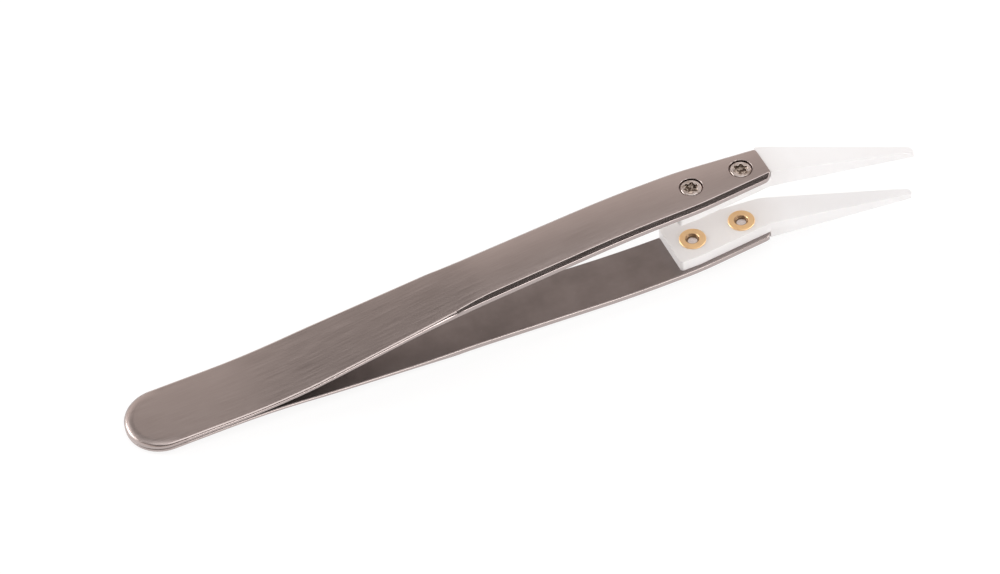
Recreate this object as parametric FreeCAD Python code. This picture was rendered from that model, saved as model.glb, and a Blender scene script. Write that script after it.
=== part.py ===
import FreeCAD, Part
import math
import os

# Non-magnetic tweezers: two spring steel arms joined flat at the heel. Each arm
# carries a ceramic tip, held by two screws sunk in counterbores and by two
# flanged brass nuts whose sleeves fill the holes of the tip.
#
# Everything is drawn about the plane midway between the arms. X runs from the
# heel to the tips, Y across the arms, Z from the lower arm to the upper one.
# Sizes are in millimetres and slopes in degrees. The finished set is then laid
# down on the back of the lower arm's belly, which is how it rests on a bench.

# Arm outline seen from above
ARM_LENGTH = 107.15
HANDLE_LENGTH = 29.2
HANDLE_HALF_WIDTH = 5.8
HEEL_RADIUS = 5.7
WAIST = 55.2
WAIST_HALF_WIDTH = 4.75
WAIST_BEND_RADIUS = 150.0
NOSE_LENGTH = 12.95
SHOULDER_HALF_WIDTH = 4.5
NOSE_HALF_WIDTH = 3.3
NOSE_BEND_RADIUS = 60.0
NOSE_CORNER_RADIUS = 1.4

# Arm bends seen from the side, as half of the gap between the arms; the belly is
# the straight stretch from the elbow to the wrist, sloped away from the middle
HEEL_KNEE = 22.2
HEEL_KNEE_RADIUS = 105.0
ELBOW = 46.2
ELBOW_RADIUS = 150.0
WRIST_TO_SEAT = 7.5
WRIST_RADIUS = 170.0
SEAT_LENGTH = 16.55
SEAT_HALF_GAP = 6.25
BELLY_SLOPE = 4.725

# Thickness of the arm: thin where it springs, thick where it carries the tip
SPRING_THICKNESS = 0.75
ELBOW_THICKNESS = 0.88
FRONT_THICKNESS = 1.55
THICKENING_LENGTH = 11.0
THICKENING_RADIUS = 90.0

# Edges of the arm
EDGE_ROUND = 0.45
INNER_EDGE_BREAK = 0.15
LAND_THICKNESS = 0.9
BEVEL_SLOPE = 45.0

# Screws, measured along the arm back from its front end
FRONT_SCREW_TO_END = 3.9
SCREW_SPACING = 8.6
SCREW_SHANK_RADIUS = 0.975
SCREW_HEAD_RADIUS = 1.68
SCREW_HEAD_HEIGHT = 0.72
SCREW_HEAD_CHAMFER = 0.12
SCREW_END_CHAMFER = 0.2
SCREW_END_BELOW_NUT = 0.55
COUNTERBORE_CLEARANCE = 0.22
COUNTERBORE_DEPTH = 0.85
SHANK_HOLE_CLEARANCE = 0.125

# Six-lobed recess in the screw head
LOBE_OUTER_RADIUS = 1.2
LOBE_INNER_RADIUS = 0.86
LOBE_VALLEY_RADIUS = 0.27
LOBE_COUNT = 6
RECESS_DEPTH = 0.42
RECESS_CONE_DEPTH = 0.12

# Flanged nuts
NUT_FLANGE_RADIUS = 2.15
NUT_FLANGE_THICKNESS = 0.22
NUT_FLANGE_CHAMFER = 0.08
NUT_SLEEVE_RADIUS = 1.5
NUT_SLEEVE_SHORTFALL = 0.06
NUT_BORE_CLEARANCE = 0.025
NUT_BORE_CHAMFER = 0.14
NUT_HOLE_CLEARANCE = 0.05

# Ceramic tips
TIP_THICKNESS = 2.0
TIP_BASE_LENGTH = 16.3
TIP_BASE_CORNER_RADIUS = 0.5
TIP_FAR_INSET = 0.08
TIP_NEAR_INSET = 0.75
TIP_STEP = 1.35
TIP_STEP_CLEARANCE = 0.06
TIP_BEND_AFTER_ARM = 0.8
TIP_BEND_RADIUS = 9.0
TIP_REACH = 22.95
TIP_END_OFFSET = 6.55
TIP_END_WIDTH = 1.3
TIP_END_THICKNESS = 1.0
TIP_END_FAR_RADIUS = 0.75
TIP_END_NEAR_RADIUS = 0.15

# Margin by which cutting bodies run past what they cut
PAST = 2.0

SEAT_START = ARM_LENGTH - SEAT_LENGTH
WRIST = SEAT_START - WRIST_TO_SEAT
THICKENING_END = ELBOW + THICKENING_LENGTH
NOSE_START = ARM_LENGTH - NOSE_LENGTH
FRONT_OUTER = SEAT_HALF_GAP + FRONT_THICKNESS
BELLY_RISE = math.tan(math.radians(BELLY_SLOPE))
ELBOW_HALF_GAP = SEAT_HALF_GAP - BELLY_RISE * (WRIST - ELBOW)
SCREW_POSITIONS = {
    "front": ARM_LENGTH - FRONT_SCREW_TO_END,
    "rear": ARM_LENGTH - FRONT_SCREW_TO_END - SCREW_SPACING,
}
COUNTERBORE_RADIUS = SCREW_HEAD_RADIUS + COUNTERBORE_CLEARANCE
COUNTERBORE_FLOOR = FRONT_OUTER - COUNTERBORE_DEPTH
GRIP_HALF_GAP = SEAT_HALF_GAP - TIP_THICKNESS
NUT_TOP = GRIP_HALF_GAP - NUT_FLANGE_THICKNESS
UP = FreeCAD.Vector(0, 0, 1)
CENTRE = FreeCAD.Vector(0, 0, 0)


def in_plan(x, y):
    return FreeCAD.Vector(x, y, 0)


def in_side_view(x, z):
    return FreeCAD.Vector(x, 0, z)


def rounded_face(corners, place):
    """A flat face with straight sides; each corner is (a, b, radius)."""
    points = [place(a, b) for a, b, radius in corners]
    starts = []
    ends = []
    bends = []
    for i, (a, b, radius) in enumerate(corners):
        corner = points[i]
        back = (points[i - 1] - corner).normalize()
        ahead = (points[(i + 1) % len(points)] - corner).normalize()
        half_angle = back.getAngle(ahead) / 2
        if radius == 0:
            starts.append(corner)
            ends.append(corner)
            bends.append(None)
            continue
        run = radius / math.tan(half_angle)
        inward = (back + ahead).normalize()
        middle = corner + inward * (radius / math.sin(half_angle) - radius)
        starts.append(corner + back * run)
        ends.append(corner + ahead * run)
        bends.append(middle)
    edges = []
    for i, middle in enumerate(bends):
        if middle is not None:
            edges.append(Part.Arc(starts[i], middle, ends[i]).toShape())
        follow = starts[(i + 1) % len(starts)]
        edges.append(Part.LineSegment(ends[i], follow).toShape())
    return Part.Face(Part.Wire(edges))


def half_width(x):
    """Half of the arm's width at a distance x from the heel."""
    stations = [
        (0, HANDLE_HALF_WIDTH),
        (HANDLE_LENGTH, HANDLE_HALF_WIDTH),
        (WAIST, WAIST_HALF_WIDTH),
        (NOSE_START, SHOULDER_HALF_WIDTH),
        (ARM_LENGTH, NOSE_HALF_WIDTH),
    ]
    for (x0, width0), (x1, width1) in zip(stations, stations[1:]):
        if x <= x1:
            break
    return width0 + (width1 - width0) * (x - x0) / (x1 - x0)


def rod(x, radius, low, high):
    return Part.makeCylinder(radius, high - low, FreeCAD.Vector(x, 0, low), UP)


def arm_outline():
    far_side = [
        (0, HANDLE_HALF_WIDTH, min(HEEL_RADIUS, HANDLE_HALF_WIDTH)),
        (HANDLE_LENGTH, HANDLE_HALF_WIDTH, WAIST_BEND_RADIUS),
        (WAIST, WAIST_HALF_WIDTH, WAIST_BEND_RADIUS),
        (NOSE_START, SHOULDER_HALF_WIDTH, NOSE_BEND_RADIUS),
        (ARM_LENGTH, NOSE_HALF_WIDTH, NOSE_CORNER_RADIUS),
    ]
    near_side = [(x, -y, radius) for x, y, radius in reversed(far_side)]
    return rounded_face(far_side + near_side, in_plan)


def arm_side_view():
    thickening_gap = ELBOW_HALF_GAP + BELLY_RISE * THICKENING_LENGTH
    inner = [
        (-PAST, 0, 0),
        (HEEL_KNEE, 0, HEEL_KNEE_RADIUS),
        (ELBOW, ELBOW_HALF_GAP, ELBOW_RADIUS),
        (WRIST, SEAT_HALF_GAP, WRIST_RADIUS),
        (ARM_LENGTH + PAST, SEAT_HALF_GAP, 0),
    ]
    outer = [
        (ARM_LENGTH + PAST, FRONT_OUTER, 0),
        (WRIST, FRONT_OUTER, WRIST_RADIUS),
        (THICKENING_END, thickening_gap + FRONT_THICKNESS, THICKENING_RADIUS),
        (ELBOW, ELBOW_HALF_GAP + ELBOW_THICKNESS, ELBOW_RADIUS),
        (HEEL_KNEE, SPRING_THICKNESS, HEEL_KNEE_RADIUS),
        (-PAST, SPRING_THICKNESS, 0),
    ]
    return rounded_face(inner + outer, in_side_view)


def rim_edges(shape, side):
    """Edges between the upright faces and the back (side 1) or the inner face (side -1)."""
    rim = []
    for edge in shape.Edges:
        normals = [face_normal(f, edge) for f in shape.ancestorsOfType(edge, Part.Face)]
        upright = [n for n in normals if abs(n.z) < 0.01 and n.x < 0.99]
        level = [n for n in normals if n.z * side > 0.5]
        if len(upright) == 1 and len(level) == 1:
            rim.append(edge)
    return rim


def round_handle_rim(blank):
    """Round the edge between the back and the sides, as far as the ground bevels."""
    across = 2 * HANDLE_HALF_WIDTH + PAST
    cutter = Part.makeBox(THICKENING_END + PAST, across, FRONT_OUTER + 2 * PAST,
                          FreeCAD.Vector(-PAST, -across / 2, -PAST))
    handle = blank.common(cutter).Solids[0]
    return handle.makeFillet(EDGE_ROUND, rim_edges(handle, 1)).fuse(blank.cut(cutter))


def face_normal(face, edge):
    middle = edge.valueAt((edge.FirstParameter + edge.LastParameter) / 2)
    u, v = face.Surface.parameter(middle)
    return face.normalAt(u, v)


def bevel_cutter():
    """What is ground off one long edge of the arm's back."""
    slope = math.tan(math.radians(BEVEL_SLOPE))
    reach = SHOULDER_HALF_WIDTH + PAST

    def ground_line(x, half_gap):
        height = half_gap + LAND_THICKNESS
        return (x, height + (half_width(x) - reach) * slope)

    start = ELBOW - THICKENING_LENGTH
    start_gap = ELBOW_HALF_GAP * (start - HEEL_KNEE) / (ELBOW - HEEL_KNEE)
    top = FRONT_OUTER + PAST
    waist_gap = ELBOW_HALF_GAP + BELLY_RISE * (WAIST - ELBOW)
    corners = [
        (*ground_line(start, start_gap), 0),
        (*ground_line(ELBOW, ELBOW_HALF_GAP), 0),
        (*ground_line(WAIST, waist_gap), WAIST_BEND_RADIUS),
        (*ground_line(WRIST, SEAT_HALF_GAP), WRIST_RADIUS),
        (*ground_line(NOSE_START, SEAT_HALF_GAP), NOSE_BEND_RADIUS),
        (*ground_line(ARM_LENGTH, SEAT_HALF_GAP), 0),
        (ARM_LENGTH + PAST, SEAT_HALF_GAP, 0),
        (ARM_LENGTH + PAST, top, 0),
        (start, top, 0),
    ]
    section = rounded_face(corners, in_side_view)
    section.translate(FreeCAD.Vector(0, reach, 0))
    return section.extrude(FreeCAD.Vector(0, -reach, reach * slope))


def upper_arm():
    outline = arm_outline().extrude(FreeCAD.Vector(0, 0, FRONT_OUTER + PAST))
    side = arm_side_view()
    side.translate(FreeCAD.Vector(0, -HANDLE_HALF_WIDTH - PAST, 0))
    slab = side.extrude(FreeCAD.Vector(0, 2 * (HANDLE_HALF_WIDTH + PAST), 0))
    blank = slab.common(outline).Solids[0]
    blank = blank.makeChamfer(INNER_EDGE_BREAK, rim_edges(blank, -1))
    arm = round_handle_rim(blank)
    far_bevel = bevel_cutter()
    near_bevel = far_bevel.mirror(CENTRE, FreeCAD.Vector(0, 1, 0))
    arm = arm.cut(far_bevel).cut(near_bevel)
    for x in SCREW_POSITIONS.values():
        hole = rod(x, SCREW_SHANK_RADIUS + SHANK_HOLE_CLEARANCE, 0, FRONT_OUTER + PAST)
        counterbore = rod(x, COUNTERBORE_RADIUS, COUNTERBORE_FLOOR, FRONT_OUTER + PAST)
        arm = arm.cut(hole).cut(counterbore)
    return arm.removeSplitter().Solids[0]


def tip_outline():
    base_start = ARM_LENGTH - TIP_BASE_LENGTH
    blade_start = ARM_LENGTH + TIP_STEP_CLEARANCE
    bend = ARM_LENGTH + TIP_BEND_AFTER_ARM
    tip_end = ARM_LENGTH + TIP_REACH
    far_end = TIP_END_WIDTH / 2 - TIP_END_OFFSET
    near_end = -TIP_END_WIDTH / 2 - TIP_END_OFFSET
    corners = [
        (base_start, half_width(base_start) - TIP_FAR_INSET, 0),
        (NOSE_START, SHOULDER_HALF_WIDTH - TIP_FAR_INSET, 0),
        (bend, NOSE_HALF_WIDTH - TIP_FAR_INSET, TIP_BEND_RADIUS),
        (tip_end, far_end, TIP_END_FAR_RADIUS),
        (tip_end, near_end, TIP_END_NEAR_RADIUS),
        (blade_start, TIP_NEAR_INSET - NOSE_HALF_WIDTH, 0),
        (NOSE_START, TIP_NEAR_INSET - SHOULDER_HALF_WIDTH, 0),
        (base_start, TIP_NEAR_INSET - half_width(base_start), TIP_BASE_CORNER_RADIUS),
    ]
    return rounded_face(corners, in_plan)


def tip_side_view():
    base_start = ARM_LENGTH - TIP_BASE_LENGTH - PAST
    blade_start = ARM_LENGTH + TIP_STEP_CLEARANCE
    tip_end = ARM_LENGTH + TIP_REACH
    past_end = tip_end + PAST
    root = SEAT_HALF_GAP + TIP_STEP
    end = GRIP_HALF_GAP + TIP_END_THICKNESS
    run_on = (end - root) / (tip_end - blade_start) * PAST
    corners = [
        (base_start, GRIP_HALF_GAP, 0),
        (past_end, GRIP_HALF_GAP, 0),
        (past_end, end + run_on, 0),
        (blade_start, root, 0),
        (blade_start, SEAT_HALF_GAP, 0),
        (base_start, SEAT_HALF_GAP, 0),
    ]
    return rounded_face(corners, in_side_view)


def upper_tip():
    across = HANDLE_HALF_WIDTH + TIP_END_OFFSET + PAST
    outline = tip_outline().extrude(FreeCAD.Vector(0, 0, FRONT_OUTER + PAST))
    side = tip_side_view()
    side.translate(FreeCAD.Vector(0, -across, 0))
    tip = side.extrude(FreeCAD.Vector(0, 2 * across, 0)).common(outline)
    for x in SCREW_POSITIONS.values():
        tip = tip.cut(rod(x, NUT_SLEEVE_RADIUS + NUT_HOLE_CLEARANCE, 0, FRONT_OUTER))
    return tip.removeSplitter().Solids[0]


def lobed_recess(x, top):
    """A six-lobed socket: round lobes joined by round valleys, tangent to each other."""
    half_pitch = math.pi / LOBE_COUNT
    valley_centre = LOBE_INNER_RADIUS + LOBE_VALLEY_RADIUS
    cosine = math.cos(half_pitch)
    upper = LOBE_OUTER_RADIUS ** 2 + valley_centre ** 2 - LOBE_VALLEY_RADIUS ** 2
    upper -= 2 * cosine * LOBE_OUTER_RADIUS * valley_centre
    lower = LOBE_OUTER_RADIUS + LOBE_VALLEY_RADIUS - cosine * valley_centre
    lobe_radius = upper / (2 * lower)
    lobe_centre = LOBE_OUTER_RADIUS - lobe_radius
    floor = top - RECESS_DEPTH

    def polar(radius, angle):
        return FreeCAD.Vector(x + radius * math.cos(angle), radius * math.sin(angle), floor)

    def touch(lobe_angle, valley_angle):
        lobe = polar(lobe_centre, lobe_angle)
        valley = polar(valley_centre, valley_angle)
        return lobe + (valley - lobe).normalize() * lobe_radius

    edges = []
    for i in range(LOBE_COUNT):
        lobe = 2 * i * half_pitch
        before = touch(lobe, lobe - half_pitch)
        after = touch(lobe, lobe + half_pitch)
        following = touch(lobe + 2 * half_pitch, lobe + half_pitch)
        tip = polar(LOBE_OUTER_RADIUS, lobe)
        valley = polar(LOBE_INNER_RADIUS, lobe + half_pitch)
        edges.append(Part.Arc(before, tip, after).toShape())
        edges.append(Part.Arc(after, valley, following).toShape())
    socket = Part.Face(Part.Wire(edges)).extrude(UP * (RECESS_DEPTH + PAST))
    cone = Part.makeCone(0, LOBE_INNER_RADIUS, RECESS_CONE_DEPTH,
                         FreeCAD.Vector(x, 0, floor - RECESS_CONE_DEPTH), UP)
    return socket.fuse(cone)


def edges_at(shape, height, radius):
    """Circular edges of a turned piece at one height and radius."""
    found = []
    for edge in shape.Edges:
        if not isinstance(edge.Curve, Part.Circle):
            continue
        if abs(edge.Curve.Center.z - height) > 0.001:
            continue
        if abs(edge.Curve.Radius - radius) < 0.001:
            found.append(edge)
    return found


def upper_screw(x):
    head_top = COUNTERBORE_FLOOR + SCREW_HEAD_HEIGHT
    shank_end = NUT_TOP + SCREW_END_BELOW_NUT
    head = rod(x, SCREW_HEAD_RADIUS, COUNTERBORE_FLOOR, head_top)
    shank = rod(x, SCREW_SHANK_RADIUS, shank_end, COUNTERBORE_FLOOR)
    screw = head.fuse(shank).removeSplitter()
    rim = edges_at(screw, head_top, SCREW_HEAD_RADIUS)
    screw = screw.makeChamfer(SCREW_HEAD_CHAMFER, rim)
    point = edges_at(screw, shank_end, SCREW_SHANK_RADIUS)
    screw = screw.makeChamfer(SCREW_END_CHAMFER, point)
    return screw.cut(lobed_recess(x, head_top)).Solids[0]


def upper_nut(x):
    sleeve_end = SEAT_HALF_GAP - NUT_SLEEVE_SHORTFALL
    bore_radius = SCREW_SHANK_RADIUS + NUT_BORE_CLEARANCE
    flange = rod(x, NUT_FLANGE_RADIUS, NUT_TOP, GRIP_HALF_GAP)
    sleeve = rod(x, NUT_SLEEVE_RADIUS, GRIP_HALF_GAP, sleeve_end)
    nut = flange.fuse(sleeve).removeSplitter()
    nut = nut.cut(rod(x, bore_radius, NUT_TOP - PAST, sleeve_end + PAST))
    nut = nut.makeChamfer(NUT_FLANGE_CHAMFER, edges_at(nut, NUT_TOP, NUT_FLANGE_RADIUS))
    return nut.makeChamfer(NUT_BORE_CHAMFER, edges_at(nut, NUT_TOP, bore_radius)).Solids[0]


def upper_pieces():
    pieces = {"arm": upper_arm(), "tip": upper_tip()}
    for place, x in SCREW_POSITIONS.items():
        pieces[place + "_screw"] = upper_screw(x)
        pieces[place + "_nut"] = upper_nut(x)
    return pieces


def whole_set():
    pieces = {}
    for name, shape in upper_pieces().items():
        pieces["upper_" + name] = shape
        pieces["lower_" + name] = shape.mirror(CENTRE, UP)
    return pieces


def laid_down(pieces):
    """Turn the set until the back of the lower arm's belly is level."""
    for shape in pieces.values():
        shape.rotate(CENTRE, FreeCAD.Vector(0, 1, 0), -BELLY_SLOPE)
    box = Part.makeCompound(list(pieces.values())).optimalBoundingBox(False, False)
    shift = FreeCAD.Vector(-box.Center.x, -box.Center.y, -box.ZMin)
    for shape in pieces.values():
        shape.translate(shift)
    return pieces


os.makedirs("parts", exist_ok=True)
for node, solid in laid_down(whole_set()).items():
    solid.exportStep("parts/" + node + ".step")
    print(node, "volume", round(solid.Volume, 2), "valid", solid.isValid())
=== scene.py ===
# %% [markdown]
# # Non-magnetic tweezers, dressed for a product picture
#
# The solids of the tweezers come ready made: two spring steel arms, two ceramic
# tips, four sunk screws and four flanged nuts. This lesson gives each of them
# its real finish, adds the small things that solids leave out, and sets up the
# camera, the floor and the light. Blender works in metres, so a value written
# as `2 * MM` is two millimetres.

# %% Load the solids
import math

import bmesh
import bpy
from mathutils import Matrix, Vector


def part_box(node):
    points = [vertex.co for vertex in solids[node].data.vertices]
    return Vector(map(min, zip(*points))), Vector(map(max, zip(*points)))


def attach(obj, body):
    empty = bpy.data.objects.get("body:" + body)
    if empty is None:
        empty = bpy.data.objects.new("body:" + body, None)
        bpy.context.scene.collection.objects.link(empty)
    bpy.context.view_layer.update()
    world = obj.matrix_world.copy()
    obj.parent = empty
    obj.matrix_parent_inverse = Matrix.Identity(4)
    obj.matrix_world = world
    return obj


MM = 0.001
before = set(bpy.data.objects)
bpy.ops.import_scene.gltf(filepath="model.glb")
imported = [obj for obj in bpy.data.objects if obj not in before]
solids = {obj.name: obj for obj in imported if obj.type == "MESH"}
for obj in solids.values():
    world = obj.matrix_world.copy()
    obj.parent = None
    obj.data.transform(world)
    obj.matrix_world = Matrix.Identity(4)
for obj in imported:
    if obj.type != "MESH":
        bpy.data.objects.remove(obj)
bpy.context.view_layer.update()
print("loaded", len(solids), "pieces:", ", ".join(sorted(solids)))

# %% [markdown]
# ## The camera
#
# The picture was taken from above and in front, with a long lens: lines that run
# away from the viewer hardly draw together. A long lens means a camera far away
# with a narrow view, so the distance is set first and the lens follows from the
# size that the object has in the picture. The camera looks at the centre of the
# bench under the object, is turned a little about its own axis, and is shifted
# so that the centre lands where it does in the picture. An object's matrix holds
# its right, up and backward directions and its place, one in each column, so the
# camera can be aimed by writing them down.

# %% Place the camera
PICTURE_WIDTH = 1000
PICTURE_HEIGHT = 574
CENTRE_IN_PICTURE = (522.8, 315.6)
PIXELS_PER_MM = 6.390
CAMERA_DISTANCE = 500 * MM
NEAREST_SEEN = 10 * MM
HEADING = math.radians(24.89)
LOOK_DOWN = math.radians(47.06)
ROLL = math.radians(-1.20)
SENSOR_MM = 36


def camera_axes():
    """Right, up and forward as the camera has them."""
    ahead = Vector((math.sin(HEADING), math.cos(HEADING), 0))
    forward = ahead * math.cos(LOOK_DOWN) - Vector((0, 0, math.sin(LOOK_DOWN)))
    level_right = Vector((math.cos(HEADING), -math.sin(HEADING), 0))
    level_up = level_right.cross(forward)
    right = level_right * math.cos(ROLL) - level_up * math.sin(ROLL)
    up = level_right * math.sin(ROLL) + level_up * math.cos(ROLL)
    return right, up, forward


def make_lens():
    lens = bpy.data.cameras.new("picture_lens")
    lens.sensor_width = SENSOR_MM
    focal_pixels = PIXELS_PER_MM * CAMERA_DISTANCE / MM
    lens.lens = focal_pixels * SENSOR_MM / PICTURE_WIDTH
    lens.shift_x = (PICTURE_WIDTH / 2 - CENTRE_IN_PICTURE[0]) / PICTURE_WIDTH
    lens.shift_y = (CENTRE_IN_PICTURE[1] - PICTURE_HEIGHT / 2) / PICTURE_WIDTH
    lens.clip_start = NEAREST_SEEN
    return lens


def make_camera():
    right, up, forward = camera_axes()
    columns = (right, up, -forward, -forward * CAMERA_DISTANCE)
    rows = [[column[row] for column in columns] for row in range(3)]
    camera = bpy.data.objects.new("picture_camera", make_lens())
    bpy.context.scene.collection.objects.link(camera)
    camera.matrix_world = Matrix(rows + [[0, 0, 0, 1]])
    return camera


camera = make_camera()
bpy.context.scene.camera = camera
bpy.context.scene.view_settings.view_transform = "Standard"
print(camera.name, "has a lens of", round(camera.data.lens, 1), "mm")

# %% [markdown]
# ## Helpers that wire nodes
#
# A node material is a small network, and written out node by node it gets long.
# These helpers do the wiring. `add_node` places a node and feeds its inputs,
# where `i0` stands for the first input and any other name is the input's label.
# `times`, `plus` and `minus` calculate, and `remap` stretches one range of
# values over another. `mix_colour` and `tone_ramp` make colours.

# %% Wire nodes
WHITE = (1, 1, 1, 1)


def feed(tree, socket, value):
    """Link a node's output to the socket, or set a plain value on it."""
    if isinstance(value, bpy.types.NodeSocket):
        tree.links.new(value, socket)
    else:
        socket.default_value = value


def add_node(tree, kind, settings=None, **inputs):
    node = tree.nodes.new(kind)
    for name, value in (settings or {}).items():
        setattr(node, name, value)
    for name, value in inputs.items():
        numbered = name[0] == "i" and name[1:].isdigit()
        key = int(name[1:]) if numbered else name.replace("_", " ")
        feed(tree, node.inputs[key], value)
    return node


def math_node(tree, operation, a, b=0.0):
    return add_node(tree, "ShaderNodeMath", {"operation": operation}, i0=a, i1=b).outputs[0]


def times(tree, a, b):
    return math_node(tree, "MULTIPLY", a, b)


def plus(tree, a, b):
    return math_node(tree, "ADD", a, b)


def minus(tree, a, b):
    return math_node(tree, "SUBTRACT", a, b)


def remap(tree, value, low, high, new_low=0.0, new_high=1.0):
    node = add_node(tree, "ShaderNodeMapRange", Value=value, From_Min=low, From_Max=high,
                    To_Min=new_low, To_Max=new_high)
    return node.outputs["Result"]


def vector_node(tree, operation, a, b=None):
    node = add_node(tree, "ShaderNodeVectorMath", {"operation": operation}, i0=a)
    if b is not None:
        feed(tree, node.inputs[1], b)
    return node.outputs


def mix_colour(tree, factor, a, b, blend="MIX"):
    """Mix two colours; a mix node keeps its colour inputs at places 6 and 7."""
    node = add_node(tree, "ShaderNodeMix", {"data_type": "RGBA", "blend_type": blend},
                    i0=factor, i6=a, i7=b)
    return node.outputs[2]


def grey(tone):
    return (tone, tone, tone, 1)


def tone_ramp(tree, factor, stops):
    """Grey tones by position, each stop being (position, tone)."""
    node = add_node(tree, "ShaderNodeValToRGB", i0=factor)
    marks = node.color_ramp.elements
    while len(marks) < len(stops):
        marks.new(1.0)
    for mark, (position, tone) in zip(marks, stops):
        mark.position = position
        mark.color = grey(tone)
    return node.outputs["Color"]


print("wiring helpers ready")

# %% [markdown]
# ## Helpers that begin and end a material
#
# Every finish in this lesson follows one plan: open a material, work out where on
# the piece a point lies, mix a colour, a roughness and a height from that, and
# plug them into the main shader. The height goes through a bump node, which only
# tilts the shading, so it suits what is too fine to model. Metal or not is one
# plain value, so it is set straight on the shader.

# %% Begin and end a material


def open_material(name):
    material = bpy.data.materials.new(name)
    material.use_nodes = True
    return material, material.node_tree, material.node_tree.nodes["Principled BSDF"]


def close_material(tree, shader, colour, roughness, normal, metallic):
    tree.links.new(colour, shader.inputs["Base Color"])
    tree.links.new(roughness, shader.inputs["Roughness"])
    tree.links.new(normal, shader.inputs["Normal"])
    shader.inputs["Metallic"].default_value = metallic


def paint_node(node_name, material):
    mesh = solids[node_name].data
    mesh.materials.clear()
    mesh.materials.append(material)


def add_bump(tree, height, strength, distance, **inputs):
    return add_node(tree, "ShaderNodeBump", Strength=strength, Distance=distance,
                    Height=height, **inputs).outputs[0]


def object_place(tree):
    return add_node(tree, "ShaderNodeTexCoord").outputs["Object"]


def split(tree, vector):
    """The X, Y and Z of a vector, as three outputs."""
    return add_node(tree, "ShaderNodeSeparateXYZ", i0=vector).outputs


def to_mm(tree, metres, start=0.0):
    """Distance from a start, turned from metres into millimetres."""
    return math_node(tree, "DIVIDE", minus(tree, metres, start), MM)


def centre_of(node_name):
    low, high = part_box(node_name)
    return (low + high) / 2


print("material helpers ready")

# %% [markdown]
# ## A white bench that still holds a shadow
#
# The picture has a pure white ground. A floor painted white is never quite
# white once something shades it, so the floor does two things. To the camera and
# to mirrors it is mostly a plain white glow, with a little matt white paint mixed
# in, and that paint keeps the soft shadow. To the soft light that bounces
# around, it is matt white paint alone, as a real bench would be.

# %% Make the floor
FLOOR_HALF_SIZE = 3.0
GLOW_SHARE = 0.82
SPARE_PAINT = 0.04
MATT_WHITE = 0.86


def seen_directly(tree):
    path = add_node(tree, "ShaderNodeLightPath").outputs
    rays = math_node(tree, "MAXIMUM", path["Is Camera Ray"], path["Is Glossy Ray"])
    return math_node(tree, "MAXIMUM", rays, path["Is Transmission Ray"])


def make_bench_white():
    material = bpy.data.materials.new("white_bench")
    material.use_nodes = True
    tree = material.node_tree
    tree.nodes.clear()
    output = tree.nodes.new("ShaderNodeOutputMaterial")
    glow = add_node(tree, "ShaderNodeEmission", Color=WHITE, Strength=GLOW_SHARE)
    thin_paint = add_node(tree, "ShaderNodeBsdfDiffuse",
                          Color=grey(1 - GLOW_SHARE + SPARE_PAINT))
    full_paint = add_node(tree, "ShaderNodeBsdfDiffuse", Color=grey(MATT_WHITE))
    bright = add_node(tree, "ShaderNodeAddShader", i0=glow.outputs[0], i1=thin_paint.outputs[0])
    pick = add_node(tree, "ShaderNodeMixShader", i0=seen_directly(tree),
                    i1=full_paint.outputs[0], i2=bright.outputs[0])
    tree.links.new(pick.outputs[0], output.inputs["Surface"])
    return material


def make_floor():
    mesh = bpy.data.meshes.new("bench")
    bm = bmesh.new()
    bmesh.ops.create_grid(bm, x_segments=2, y_segments=2, size=FLOOR_HALF_SIZE)
    bm.to_mesh(mesh)
    bm.free()
    mesh.materials.append(make_bench_white())
    floor = bpy.data.objects.new("bench", mesh)
    bpy.context.scene.collection.objects.link(floor)
    return floor


floor = make_floor()
print(floor.name, "spans", 2 * FLOOR_HALF_SIZE, "m")

# %% [markdown]
# ## Room light with a dark side
#
# Steel has hardly a colour of its own: it shows the room. The wide faces mirror
# the back wall half way up, where it fades from white to grey, and the ground
# bevels mirror the side where the photographer stands, which is dark above the
# bench. So the room is painted by direction: one ramp of tones from the bench
# up to the ceiling for the back, a second one for the front, and a soft change
# from one to the other. A direction has length 1, so its third value runs from 0
# level with the bench to 1 straight overhead, and each tone stands next to the
# value it belongs to. The wall is a little warm. To the left it dims, except low
# down and far out to the side, where it stays bright. Seen directly by the
# camera the room is plain white. Each pair of values below says where such a
# change begins and where it is complete.

# %% Make the room
TOWARDS_BACK = (0.41, 0.91, 0.0)
FRONT_TO_BACK = (-0.40, 0.30)
WALL_TINT = (1.0, 0.90, 0.85, 1)
BACK_TONES = ((0.0, 1.0), (0.42, 0.96), (0.60, 0.82), (0.74, 0.62), (0.86, 0.43), (1.0, 0.38))
FRONT_TONES = ((0.0, 1.0), (0.24, 1.0), (0.40, 0.10), (0.80, 0.07), (1.0, 0.30))
LEFT_DIMMING = 0.27
LEFT_TO_RIGHT = (-0.10, 0.08)
BRIGHT_LOW_DOWN = (0.55, 0.40)
BRIGHT_FAR_LEFT = (-0.24, -0.50)


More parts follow.
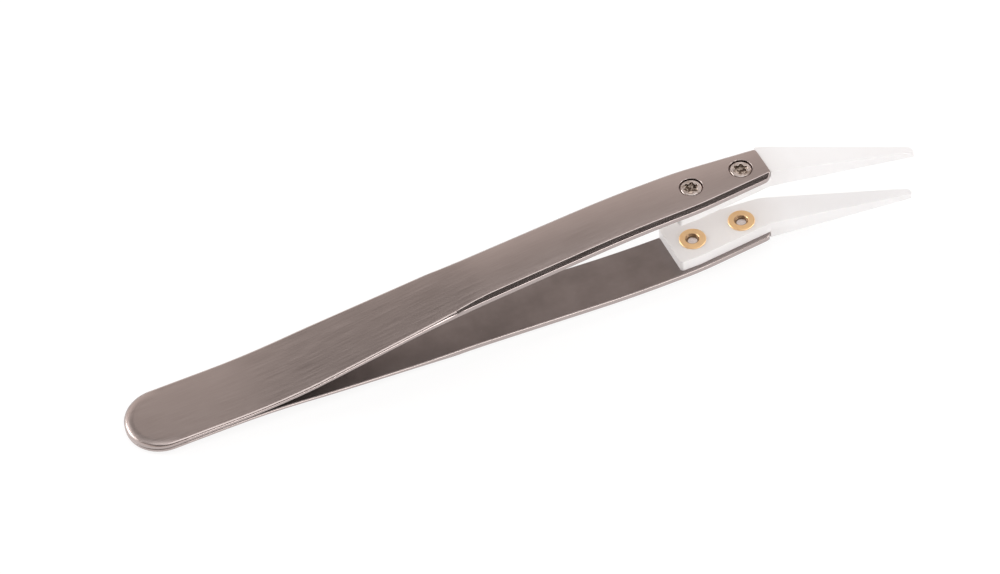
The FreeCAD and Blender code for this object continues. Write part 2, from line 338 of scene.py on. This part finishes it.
def make_room():
    world = bpy.context.scene.world or bpy.data.worlds.new("room")
    bpy.context.scene.world = world
    world.use_nodes = True
    tree = world.node_tree
    tree.nodes.clear()
    output = tree.nodes.new("ShaderNodeOutputWorld")
    way = add_node(tree, "ShaderNodeTexCoord").outputs["Generated"]
    rightwards, _, upwards = split(tree, way)
    back = vector_node(tree, "DOT_PRODUCT", way, TOWARDS_BACK)["Value"]
    wall = mix_colour(tree, 1.0, tone_ramp(tree, upwards, BACK_TONES), WALL_TINT, "MULTIPLY")
    dimming = remap(tree, rightwards, *LEFT_TO_RIGHT, LEFT_DIMMING, 1.0)
    dimming = math_node(tree, "MAXIMUM", dimming, remap(tree, upwards, *BRIGHT_LOW_DOWN))
    dimming = math_node(tree, "MAXIMUM", dimming, remap(tree, rightwards, *BRIGHT_FAR_LEFT))
    wall = mix_colour(tree, 1.0, wall, dimming, "MULTIPLY")
    front = mix_colour(tree, 1.0, tone_ramp(tree, upwards, FRONT_TONES), WALL_TINT, "MULTIPLY")
    colour = mix_colour(tree, remap(tree, back, *FRONT_TO_BACK), front, wall)
    painted = add_node(tree, "ShaderNodeBackground", Color=colour, Strength=1.0)
    white = add_node(tree, "ShaderNodeBackground", Color=WHITE, Strength=1.0)
    path = add_node(tree, "ShaderNodeLightPath")
    pick = add_node(tree, "ShaderNodeMixShader", i0=path.outputs["Is Camera Ray"],
                    i1=painted.outputs[0], i2=white.outputs[0])
    tree.links.new(pick.outputs[0], output.inputs["Surface"])
    return world


room = make_room()
print(room.name, "painted with", len(BACK_TONES), "tones behind and", len(FRONT_TONES), "in front")

# %% [markdown]
# ## Soft lamps
#
# Four large lamps give the white ceramic its light. A flat lamp shows up in
# polished steel as a bright patch, so each lamp stands where the wide faces do
# not mirror it towards the camera, and only rounded rims and screw heads catch
# it. The lamp overhead carries most of the light, and the lamp low on the left
# draws the bright rim round the heel. The two low ones at the front and on the
# right lift the upright sides of the ceramic, which the overhead lamp only
# grazes. Each row below is a name, a place in metres, a width in metres and a
# power in watts, and every lamp is aimed at the object.

# %% Hang the lamps
LAMPS = (
    ("overhead_lamp", (0.02, -0.26, 0.92), 0.95, 4.5),
    ("left_lamp", (-0.66, 0.42, 0.27), 0.50, 4.0),
    ("right_lamp", (0.72, -0.42, 0.26), 0.40, 2.5),
    ("front_lamp", (0.25, -0.92, 0.18), 0.40, 1.6),
)


def hang_lamp(name, place, width, power):
    lamp = bpy.data.lights.new(name, "AREA")
    lamp.shape = "SQUARE"
    lamp.size = width
    lamp.energy = power
    holder = bpy.data.objects.new(name, lamp)
    holder.location = place
    holder.rotation_euler = (-Vector(place)).to_track_quat("-Z", "Y").to_euler()
    bpy.context.scene.collection.objects.link(holder)
    return holder


for row in LAMPS:
    lamp = hang_lamp(*row)
    print(lamp.name, "gives", lamp.data.energy, "W")

# %% [markdown]
# ## Grain, clouds and specks
#
# Brushed steel, fired ceramic and turned brass all need the same few surface
# effects at different strengths, so each effect is a node group, built once.
# Long grain is noise squeezed along the arm: it is looked up by length and width
# only, so that the lines run on along the bends. Clouds are slow changes of
# tone. Specks are sparse dots from a cell pattern, with most cells left empty.
# Noise hardly ever leaves its middle range, so that range is stretched until it
# fills everything from 0 to 1.

# %% Build the shared effects
NOISE_RANGE = (0.3, 0.7)
SCUFF_RANGE = (0.62, 0.72)
SCUFF_STRETCH = (2.2, 0.35, 1.0)


def new_group(name, inputs, outputs):
    """A node group whose inputs, given with their usual values, and outputs are numbers."""
    group = bpy.data.node_groups.new(name, "ShaderNodeTree")
    kind = "NodeSocketFloat"
    for label, value in inputs:
        socket = group.interface.new_socket(name=label, in_out="INPUT", socket_type=kind)
        socket.default_value = value
    for label in outputs:
        group.interface.new_socket(name=label, in_out="OUTPUT", socket_type=kind)
    entry = group.nodes.new("NodeGroupInput")
    leave = group.nodes.new("NodeGroupOutput")
    return group, entry.outputs, leave.inputs


def place_group(tree, group, **values):
    node = tree.nodes.new("ShaderNodeGroup")
    node.node_tree = group
    for name, value in values.items():
        node.inputs[name.replace("_", " ")].default_value = value
    return node.outputs


def make_long_grain():
    group, given, result = new_group(
        "long_grain", [("Lines per mm", 3.0), ("Line length mm", 12.0)], ["Lines", "Scuffs"])
    x, y, z = split(group, object_place(group))
    across = times(group, to_mm(group, y), given["Lines per mm"])
    along = math_node(group, "DIVIDE", to_mm(group, x), given["Line length mm"])
    side = math_node(group, "SIGN", z)
    spot = add_node(group, "ShaderNodeCombineXYZ", X=along, Y=across, Z=side).outputs[0]
    fine = add_node(group, "ShaderNodeTexNoise", Vector=spot, Scale=1.0, Detail=5.0,
                    Roughness=0.65)
    group.links.new(remap(group, fine.outputs[0], *NOISE_RANGE), result["Lines"])
    coarse_spot = vector_node(group, "MULTIPLY", spot, SCUFF_STRETCH)[0]
    coarse = add_node(group, "ShaderNodeTexNoise", Vector=coarse_spot, Scale=1.0, Detail=3.0)
    group.links.new(remap(group, coarse.outputs[0], *SCUFF_RANGE), result["Scuffs"])
    return group


def make_clouds():
    group, given, result = new_group("clouds", [("Size mm", 10.0)], ["Tone"])
    per_metre = math_node(group, "DIVIDE", 1 / MM, given["Size mm"])
    noise = add_node(group, "ShaderNodeTexNoise", Vector=object_place(group), Scale=per_metre,
                     Detail=3.0, Roughness=0.55)
    group.links.new(remap(group, noise.outputs[0], *NOISE_RANGE), result["Tone"])
    return group


def make_specks():
    group, given, result = new_group(
        "specks", [("Spacing mm", 1.2), ("Dot mm", 0.06), ("Empty share", 0.8)], ["Dots"])
    per_metre = math_node(group, "DIVIDE", 1 / MM, given["Spacing mm"])
    cells = add_node(group, "ShaderNodeTexVoronoi", Vector=object_place(group),
                     Scale=per_metre).outputs
    reach = math_node(group, "DIVIDE", given["Dot mm"], given["Spacing mm"])
    dot = math_node(group, "LESS_THAN", cells["Distance"], reach)
    chance = add_node(group, "ShaderNodeSeparateColor", i0=cells["Color"]).outputs[0]
    kept = math_node(group, "GREATER_THAN", chance, given["Empty share"])
    group.links.new(times(group, dot, kept), result["Dots"])
    return group


LONG_GRAIN = make_long_grain()
CLOUDS = make_clouds()
SPECKS = make_specks()
print("effects:", LONG_GRAIN.name, CLOUDS.name, SPECKS.name)

# %% [markdown]
# ## The crown of the brushed faces
#
# In the picture the wide faces of the arms are lighter along one edge and darker
# along the other, as a face is that bulges a little, and a light rim follows the
# arc of the heel. The solids are flat there, so both are made here as heights
# for a bump. A round surface falls off with the square of the distance from its
# middle, divided by twice its radius, and both functions use that rule. By it
# the height falls by 0.2 to 0.4 mm at the edges. That is a look fitted to the
# picture and not a measured form: a bump changes only the shading, so neither
# the outline nor the mesh has this bulge. A truer model would have it as shape.

# %% Shape the crown
CROWN_RADIUS_MM = 27.0
CROWN_ON_HANDLE = 0.30
HANDLE_TO_WAIST = (-25 * MM, 0.0)
HEEL_RADIUS_MM = 5.7
ROLL_STARTS_MM = 4.1
ROLL_RADIUS_MM = 3.0
ROLL_FADE_MM = (2.0, -4.0)


def crown_height(tree, middle):
    """Height in mm of a shallow crown across the arm, flatter along the handle."""
    x, y, _ = split(tree, object_place(tree))
    across = to_mm(tree, y, middle)
    rise = remap(tree, x, *HANDLE_TO_WAIST, CROWN_ON_HANDLE, 1.0)
    return times(tree, times(tree, times(tree, across, across), rise), -0.5 / CROWN_RADIUS_MM)


def heel_roll(tree, heel_end, middle):
    """Height in mm, at most 0, by which the heel end is rolled off round its arc."""
    x, y, _ = split(tree, object_place(tree))
    along = to_mm(tree, x, heel_end + HEEL_RADIUS_MM * MM)
    across = to_mm(tree, y, middle)
    behind = math_node(tree, "MINIMUM", along, 0.0)
    reach = add_node(tree, "ShaderNodeCombineXYZ", X=behind, Y=across).outputs[0]
    reach = vector_node(tree, "LENGTH", reach)["Value"]
    past = math_node(tree, "MAXIMUM", minus(tree, reach, ROLL_STARTS_MM), 0.0)
    drop = times(tree, times(tree, past, past), remap(tree, along, *ROLL_FADE_MM))
    return times(tree, drop, -0.5 / ROLL_RADIUS_MM)


print("crown radius", CROWN_RADIUS_MM, "mm, heel roll radius", ROLL_RADIUS_MM, "mm")

# %% [markdown]
# ## Spring steel arms
#
# The arms are brushed lengthways, then their long edges are ground to a bevel.
# Brushing leaves fine lines and a satin sheen. The grinding leaves the bevels
# and sides smoother and clearer. The inner faces are duller, and their colour is
# painted much darker as shade, because the two arms shade each other there; slow
# smudges of tone vary that painted shade. A few bright specks are painted glints,
# and the same specks are pits in the bump. All this is one material for each arm,
# because the direction that the surface faces tells the zones apart: sideways
# means ground, and towards the other arm means inner. Roughness is how dull the
# sheen is, so the ground zone lowers it and the inner zone raises it.

# %% Make the arm steel
STEEL = (0.555, 0.482, 0.462, 1)
STEEL_DEEP = (0.465, 0.398, 0.380, 1)
STEEL_GROUND = (0.425, 0.364, 0.350, 1)
# Painted shade: the two inner colours darken the faces where the arms shade each other.
STEEL_INNER_SHADE = (0.205, 0.177, 0.170, 1)
STEEL_SMUDGED_SHADE = (0.290, 0.252, 0.243, 1)
# Painted glints: the bright colour given to the sparse specks.
STEEL_SPECK_GLINT = (0.80, 0.74, 0.71, 1)
GROUND_FACING = (0.35, 0.6)
INNER_FACING = (0.5, 0.8)
ARM_GRAIN = {"Lines_per_mm": 4.6, "Line_length_mm": 6.5}
ARM_SPECKS = {"Spacing_mm": 1.5, "Dot_mm": 0.055, "Empty_share": 0.74}
ARM_CLOUD_MM = 16.0
SMUDGE_MM = 5.0
LINES_SHARE, CLOUDS_SHARE = 0.55, 0.45
GROUND_SHARE, INNER_SHADE_SHARE, SPECK_GLINT_SHARE = 0.8, 0.85, 0.6
ARM_SATIN = (0.30, 0.40)
GROUND_CLEARER = 0.16
INNER_DULLER = 0.12
CROWN_ON_BEVEL = 0.5
PIT_DEPTH, SCUFF_DEPTH = -1.5, -0.6
ARM_BUMP = (0.18, 0.02 * MM)


def arm_zones(tree, inner_side):
    """Masks of the ground edges and of the inner face."""
    _, sideways, upwards = split(tree, add_node(tree, "ShaderNodeNewGeometry").outputs["Normal"])
    ground = remap(tree, math_node(tree, "ABSOLUTE", sideways), *GROUND_FACING)
    inner = remap(tree, times(tree, upwards, inner_side), *INNER_FACING)
    return ground, inner


def arm_colour(tree, ground, inner, lines, dots):
    clouds = place_group(tree, CLOUDS, Size_mm=ARM_CLOUD_MM)["Tone"]
    smudges = place_group(tree, CLOUDS, Size_mm=SMUDGE_MM)["Tone"]
    brushed = plus(tree, times(tree, lines, LINES_SHARE), times(tree, clouds, CLOUDS_SHARE))
    colour = mix_colour(tree, brushed, STEEL_DEEP, STEEL)
    colour = mix_colour(tree, times(tree, ground, GROUND_SHARE), colour, STEEL_GROUND)
    # Painted shade on the inner faces between the arms, varied by slow clouds of tone.
    inner_shade = mix_colour(tree, smudges, STEEL_INNER_SHADE, STEEL_SMUDGED_SHADE)
    colour = mix_colour(tree, times(tree, inner, INNER_SHADE_SHARE), colour, inner_shade)
    # The specks are painted bright, as small painted glints.
    return mix_colour(tree, times(tree, dots, SPECK_GLINT_SHARE), colour, STEEL_SPECK_GLINT)


def arm_normal(tree, node_name, ground, inner, grain, dots):
    """The crown as a broad bump, with grain, scuffs and specks as a fine one on it."""
    middle = centre_of(node_name).y
    crown = crown_height(tree, middle)
    crown = plus(tree, crown, heel_roll(tree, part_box(node_name)[0].x, middle))
    crown = times(tree, crown, minus(tree, 1.0, inner))
    crown = times(tree, crown, remap(tree, ground, 0.0, 1.0, 1.0, CROWN_ON_BEVEL))
    crown = add_bump(tree, crown, 1.0, MM)
    height = plus(tree, grain["Lines"], times(tree, dots, PIT_DEPTH))
    height = plus(tree, height, times(tree, grain["Scuffs"], SCUFF_DEPTH))
    height = times(tree, height, minus(tree, 1.0, ground))
    return add_bump(tree, height, *ARM_BUMP, Normal=crown)


def make_arm_steel(node_name, inner_side):
    material, tree, shader = open_material("steel_of_" + node_name)
    ground, inner = arm_zones(tree, inner_side)
    grain = place_group(tree, LONG_GRAIN, **ARM_GRAIN)
    dots = place_group(tree, SPECKS, **ARM_SPECKS)["Dots"]
    satin = remap(tree, grain["Lines"], 0.0, 1.0, *ARM_SATIN)
    satin = minus(tree, satin, times(tree, ground, GROUND_CLEARER))
    satin = plus(tree, satin, times(tree, inner, INNER_DULLER))
    close_material(tree, shader, arm_colour(tree, ground, inner, grain["Lines"], dots), satin,
                   arm_normal(tree, node_name, ground, inner, grain, dots), 1.0)
    return material


for arm, inner_side in (("upper_arm", -1.0), ("lower_arm", 1.0)):
    paint_node(arm, make_arm_steel(arm, inner_side))
    print(arm, "wears brushed steel")

# %% [markdown]
# ## Ceramic tips
#
# The tips are white ceramic, satin rather than glassy. Their colour is set a
# touch cool, because the warm wall tints all that it lights, and so they come
# out nearly neutral. What shows that they are real is slight: a very slow change
# of tone, grinding lines that only the sheen catches, and a few tiny pits. The
# seat under the nuts is painted a shade darker and warmer than the points, as
# painted shade from the upper arm above it. A tint that fades in along the tip
# does that, and because it multiplies the colour, the clouds and pits under it
# stay visible.

# %% Make the tip ceramic
CERAMIC = (0.905, 0.915, 0.930, 1)
CERAMIC_SHADE = (0.860, 0.860, 0.865, 1)
# Painted shade: the seat's darker, warmer tint stands in for the upper arm's shade.
SEAT_SHADE_TINT = (0.925, 0.910, 0.900, 1)
SEAT_SHADE_FADE = (46 * MM, 41 * MM)
TIP_GRAIN = {"Lines_per_mm": 5.0, "Line_length_mm": 3.0}
TIP_SPECKS = {"Spacing_mm": 1.6, "Dot_mm": 0.05, "Empty_share": 0.85}
TIP_CLOUD_MM = 9.0
TIP_CLOUD_SHARE = 0.35
TIP_PIT_SHARE, TIP_PIT_DEPTH = 0.5, -2.0
TIP_SATIN = (0.36, 0.48)
TIP_BUMP = (0.10, 0.01 * MM)


def make_tip_ceramic():
    material, tree, shader = open_material("tip_ceramic_fired")
    tone = place_group(tree, CLOUDS, Size_mm=TIP_CLOUD_MM)["Tone"]
    lines = place_group(tree, LONG_GRAIN, **TIP_GRAIN)["Lines"]
    pits = place_group(tree, SPECKS, **TIP_SPECKS)["Dots"]
    shade = times(tree, minus(tree, 1.0, tone), TIP_CLOUD_SHARE)
    shade = plus(tree, shade, times(tree, pits, TIP_PIT_SHARE))
    colour = mix_colour(tree, shade, CERAMIC, CERAMIC_SHADE)
    # Painted shade fades in over the seat, which the upper arm shades.
    seat = remap(tree, split(tree, object_place(tree))[0], *SEAT_SHADE_FADE)
    colour = mix_colour(tree, seat, colour, SEAT_SHADE_TINT, "MULTIPLY")
    satin = remap(tree, lines, 0.0, 1.0, *TIP_SATIN)
    height = plus(tree, lines, times(tree, pits, TIP_PIT_DEPTH))
    close_material(tree, shader, colour, satin, add_bump(tree, height, *TIP_BUMP), 0.0)
    return material


tip_ceramic = make_tip_ceramic()
for tip in ("upper_tip", "lower_tip"):
    paint_node(tip, tip_ceramic)
print("tips wear", tip_ceramic.name)

# %% [markdown]
# ## Rings left by the lathe
#
# Nuts and screws come off a lathe, and the tool leaves fine rings about their
# own axis. A group that draws rings needs to know where that axis is, and each
# of the eight pieces has its own, so the group takes a centre and each piece
# gets a material with its own centre. The axis stands at right angles to the
# arm's flat seat, which is tilted by a few degrees. Besides the rings the group
# gives a point's distance from the axis and its height along it, so that a
# material can tell a bore, a recess or an end face apart.

# %% Find the axes of the turned pieces
SEAT_TILT = math.radians(4.725)
AXIS = Vector((-math.sin(SEAT_TILT), 0, math.cos(SEAT_TILT)))
ALONG = Vector((math.cos(SEAT_TILT), 0, math.sin(SEAT_TILT)))


def make_turned_rings():
    group, given, result = new_group(
        "turned_rings",
        [("Centre X", 0.0), ("Centre Y", 0.0), ("Centre Z", 0.0), ("Rings per mm", 12.0)],
        ["Rings", "Radius mm", "Along mm"])
    centre = add_node(group, "ShaderNodeCombineXYZ", X=given["Centre X"], Y=given["Centre Y"],
                      Z=given["Centre Z"]).outputs[0]
    away = vector_node(group, "SUBTRACT", object_place(group), centre)[0]
    spoke = vector_node(group, "CROSS_PRODUCT", away, AXIS)[0]
    radius = to_mm(group, vector_node(group, "LENGTH", spoke)["Value"])
    climb = to_mm(group, vector_node(group, "DOT_PRODUCT", away, AXIS)["Value"])
    noise = add_node(group, "ShaderNodeTexNoise", {"noise_dimensions": "1D"},
                     W=times(group, radius, given["Rings per mm"]), Scale=1.0, Detail=2.0)
    group.links.new(remap(group, noise.outputs[0], *NOISE_RANGE), result["Rings"])
    group.links.new(radius, result["Radius mm"])
    group.links.new(climb, result["Along mm"])
    return group


TURNED_RINGS = make_turned_rings()


def place_rings(tree, node_name, rings_per_mm):
    centre = centre_of(node_name)
    return place_group(tree, TURNED_RINGS, Centre_X=centre.x, Centre_Y=centre.y,
                       Centre_Z=centre.z, Rings_per_mm=rings_per_mm)


print("seat tilt", round(math.degrees(SEAT_TILT), 2), "degrees")

# %% [markdown]
# ## Brass nuts
#
# The nuts are brass, the only warm colour on the object. Their flange is satin,
# and its colour wavers between a bright and a dull brass with the rings and with
# small clouds. The bore is much darker, because it is deep, narrow and shaded.
# The distance from the axis tells bore and flange apart, so one material does
# both, and the thread made further down wears it too.

# %% Make the nut brass
BRASS = (0.995, 0.740, 0.440, 1)
BRASS_DULL = (0.930, 0.640, 0.345, 1)
BRASS_BORE = (0.300, 0.190, 0.120, 1)
NUT_RINGS_PER_MM = 11.0
BORE_EDGE_MM = (1.16, 1.08)
BORE_SHARE = 0.85
NUT_CLOUD_MM = 1.6
NUT_RINGS_SHARE, NUT_CLOUD_SHARE = 0.4, 0.5
NUT_SATIN = (0.44, 0.56)
NUT_BUMP = (0.15, 0.01 * MM)


def make_nut_brass(node_name):
    material, tree, shader = open_material("brass_of_" + node_name)
    turned = place_rings(tree, node_name, NUT_RINGS_PER_MM)
    rings = turned["Rings"]
    bore = remap(tree, turned["Radius mm"], *BORE_EDGE_MM)
    tone = place_group(tree, CLOUDS, Size_mm=NUT_CLOUD_MM)["Tone"]
    wear = plus(tree, times(tree, rings, NUT_RINGS_SHARE), times(tree, tone, NUT_CLOUD_SHARE))
    colour = mix_colour(tree, wear, BRASS_DULL, BRASS)
    colour = mix_colour(tree, times(tree, bore, BORE_SHARE), colour, BRASS_BORE)
    satin = remap(tree, rings, 0.0, 1.0, *NUT_SATIN)
    close_material(tree, shader, colour, satin, add_bump(tree, rings, *NUT_BUMP), 1.0)
    return material


NUTS = [name for name in sorted(solids) if name.endswith("_nut")]
brass = {name: make_nut_brass(name) for name in NUTS}
for name in NUTS:
    paint_node(name, brass[name])
print(len(NUTS), "nuts turned")

# %% [markdown]
# ## Polished screws
#
# The screws are bright steel. So small a head mirrors the whole room at once, and
# so it shows as a jumble of light and dark. Small clouds in the colour paint that
# jumble as painted reflections, and clouds in the bump break up the mirror in
# that way too. The six-lobe recess is painted dark as shade, with a few painted
# glints. It is found by its distance from the axis and by its height, between its
# floor and the top of the head. The end of the shank, seen through the nut, is
# painted bright as a highlight. Heights are measured from the middle of the
# screw towards its head, so they are turned over for the lower screws.

# %% Make the screw steel
# Painted reflections: the light and dark colours that the clouds mix on the head.
SCREW_REFLECTION_LIGHT = (0.850, 0.780, 0.750, 1)
SCREW_REFLECTION_DARK = (0.520, 0.440, 0.390, 1)
# Painted shade in the recess, with painted glints on it.
SCREW_SOCKET_SHADE = (0.130, 0.095, 0.072, 1)
SCREW_GLINT = (0.780, 0.680, 0.600, 1)
# Painted highlight: the near white colour of the shank's end face.
SCREW_END_HIGHLIGHT = (0.960, 0.900, 0.880, 1)
SCREW_RINGS_PER_MM = 9.0
SOCKET_REACH_MM = 1.24
SOCKET_FLOOR_MM = 0.95
HEAD_TOP_MM = 1.52
SOCKET_FADE_MM = 0.05
END_FACE_MM = (-1.30, -1.42)
SCREW_CLOUD_MM, GLINT_MM = 0.7, 0.45
REFLECTION_CLOUDS = (0.10, 0.6)
GLINT_CLOUDS = (0.42, 0.70)
SCREW_GLOSS = (0.16, 0.28)
SCREW_RINGS_SHARE = 0.4
SCREW_BUMP = (0.25, 0.06 * MM)


def socket_mask(tree, radius, climb):
    """1 inside the recess of the head, 0 elsewhere."""
    narrow = math_node(tree, "LESS_THAN", radius, SOCKET_REACH_MM)
    above_floor = remap(tree, climb, SOCKET_FLOOR_MM - SOCKET_FADE_MM, SOCKET_FLOOR_MM)
    below_top = remap(tree, climb, HEAD_TOP_MM, HEAD_TOP_MM - SOCKET_FADE_MM)
    return times(tree, times(tree, narrow, above_floor), below_top)


def make_screw_steel(node_name):
    material, tree, shader = open_material("polish_of_" + node_name)
    turned = place_rings(tree, node_name, SCREW_RINGS_PER_MM)
    rings = turned["Rings"]
    head_side = -1.0 if node_name.startswith("lower") else 1.0
    climb = times(tree, turned["Along mm"], head_side)
    tone = place_group(tree, CLOUDS, Size_mm=SCREW_CLOUD_MM)["Tone"]
    spark = place_group(tree, CLOUDS, Size_mm=GLINT_MM)["Tone"]
    # Clouds mix the painted reflections, light and dark, over the screw.
    colour = mix_colour(tree, remap(tree, tone, *REFLECTION_CLOUDS), SCREW_REFLECTION_DARK, SCREW_REFLECTION_LIGHT)
    # The recess colour: painted shade with painted glints.
    depth = mix_colour(tree, remap(tree, spark, *GLINT_CLOUDS), SCREW_SOCKET_SHADE, SCREW_GLINT)
    colour = mix_colour(tree, socket_mask(tree, turned["Radius mm"], climb), colour, depth)
    # The shank's end face is painted bright as a highlight.
    colour = mix_colour(tree, remap(tree, climb, *END_FACE_MM), colour, SCREW_END_HIGHLIGHT)
    gloss = remap(tree, rings, 0.0, 1.0, *SCREW_GLOSS)
    height = plus(tree, times(tree, rings, SCREW_RINGS_SHARE), tone)
    close_material(tree, shader, colour, gloss, add_bump(tree, height, *SCREW_BUMP), 1.0)
    return material


SCREWS = [name for name in sorted(solids) if name.endswith("_screw")]
for name in SCREWS:
    paint_node(name, make_screw_steel(name))
print(len(SCREWS), "screws polished")

# %% [markdown]
# ## Softened edges
#
# No real edge is perfectly sharp, and on bright metal the tiny rounding is what
# draws the light line along it. The solids have sharp edges where a grinder or a
# lathe tool stopped, so each gets a small bevel as a modifier, which leaves its
# own mesh as it was. The triangles of the flat faces are first joined up again,
# because a bevel works best on clean outlines. Clamping is off: it would shrink
# every bevel of a piece to suit its shortest edge, and the light line would be
# lost. These modifiers also lose the smooth shading that the solids came with,
# and large faces would show streaks, so the last one evens it out by face area.
# Each row below is the end of a name, the bevel's width, its number of segments
# and the angle above which an edge counts as sharp. That angle is larger on the
# arms, so that the facets of their rounded rim are left alone.

# %% Soften the edges
SEAM_REACH = 0.001 * MM
FLAT_WITHIN = math.radians(0.05)
LARGE_FACES_LEAD = 100
EDGES = (
    ("_arm", 0.09 * MM, 3, 38),
    ("_tip", 0.06 * MM, 2, 24),
    ("_screw", 0.025 * MM, 2, 24),
    ("_nut", 0.025 * MM, 2, 24),
)


def soften(piece, width, segments, sharp_above):
    weld = piece.modifiers.new("join_seams", "WELD")
    weld.merge_threshold = SEAM_REACH
    join = piece.modifiers.new("join_triangles", "DECIMATE")
    join.decimate_type = "DISSOLVE"
    join.angle_limit = FLAT_WITHIN
    edge = piece.modifiers.new("soft_edge", "BEVEL")
    edge.width = width
    edge.segments = segments
    edge.limit_method = "ANGLE"
    edge.angle_limit = math.radians(sharp_above)
    edge.use_clamp_overlap = False
    edge.miter_outer = "MITER_ARC"
    shading = piece.modifiers.new("even_shading", "WEIGHTED_NORMAL")
    shading.mode = "FACE_AREA"
    shading.weight = LARGE_FACES_LEAD


for ending, width, segments, sharp_above in EDGES:
    pieces = [solids[name] for name in sorted(solids) if name.endswith(ending)]
    for piece in pieces:
        soften(piece, width, segments, sharp_above)
    print(len(pieces), "pieces ending in", ending, "softened by", round(width / MM, 3), "mm")

# %% [markdown]
# ## Threads
#
# The nuts are open on the gripping side, so the thread in their bore and the end
# of the screw show. A thread is a small triangle carried round the axis while it
# climbs by one pitch a turn. Building it point by point in mesh code gives full
# control of where it starts and stops, and its ends run out to nothing, as a
# cut thread does.

# %% Cut the threads
BORE_RADIUS = 1.0 * MM
FLANGE_RADIUS = 2.15 * MM
MOUTH_TO_THREAD = 0.16 * MM
THREAD_PITCH = 0.4 * MM
THREAD_DEPTH = 0.13 * MM
THREAD_HALF_WIDTH = THREAD_PITCH * 0.42
THREAD_TURNS = 1.5
STEPS_PER_TURN = 48
RUN_OUTS_PER_TURN = 6


def nut_mouth(node_name):
    """Centre of the nut's open face, and the way into the bore."""
    low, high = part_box(node_name)
    middle = (low + high) / 2
    lean = FLANGE_RADIUS * abs(AXIS.x)
    reach = FLANGE_RADIUS * AXIS.z
    if node_name.startswith("lower"):
        return Vector((high.x - reach, middle.y, high.z - lean)), -AXIS
    return Vector((low.x + reach, middle.y, low.z + lean)), AXIS


def thread_profile(turn):
    """The triangle of the thread after so many turns, as (radius, depth) pairs."""
    run_out = min(1.0, RUN_OUTS_PER_TURN * turn, RUN_OUTS_PER_TURN * (THREAD_TURNS - turn))
    depth = MOUTH_TO_THREAD + THREAD_PITCH * turn
    crest = BORE_RADIUS - THREAD_DEPTH * run_out
    return ((BORE_RADIUS, depth - THREAD_HALF_WIDTH), (crest, depth),
            (BORE_RADIUS, depth + THREAD_HALF_WIDTH))


def thread_mesh(name, mouth, inward):
    sideways = inward.cross(ALONG)
    bm = bmesh.new()
    rows = []
    for step in range(int(STEPS_PER_TURN * THREAD_TURNS) + 1):
        turn = step / STEPS_PER_TURN
        angle = 2 * math.pi * turn
        spoke = ALONG * math.cos(angle) + sideways * math.sin(angle)
        rows.append([bm.verts.new(mouth + spoke * radius + inward * depth)
                     for radius, depth in thread_profile(turn)])
    for row, following in zip(rows, rows[1:]):
        for side in range(3):
            other = (side + 1) % 3
            bm.faces.new((row[side], row[other], following[other], following[side]))
    for end in (rows[0], rows[-1]):
        bm.faces.new(end)
    bmesh.ops.recalc_face_normals(bm, faces=bm.faces)
    mesh = bpy.data.meshes.new(name)
    bm.to_mesh(mesh)
    bm.free()
    return mesh


def cut_thread(node_name):
    name = node_name + "_thread"
    mesh = thread_mesh(name, *nut_mouth(node_name))
    mesh.materials.append(brass[node_name])
    thread = bpy.data.objects.new(name, mesh)
    bpy.context.scene.collection.objects.link(thread)
    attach(thread, "root")
    return thread


for name in NUTS:
    thread = cut_thread(name)
    print(thread.name, "faces", len(thread.data.polygons))
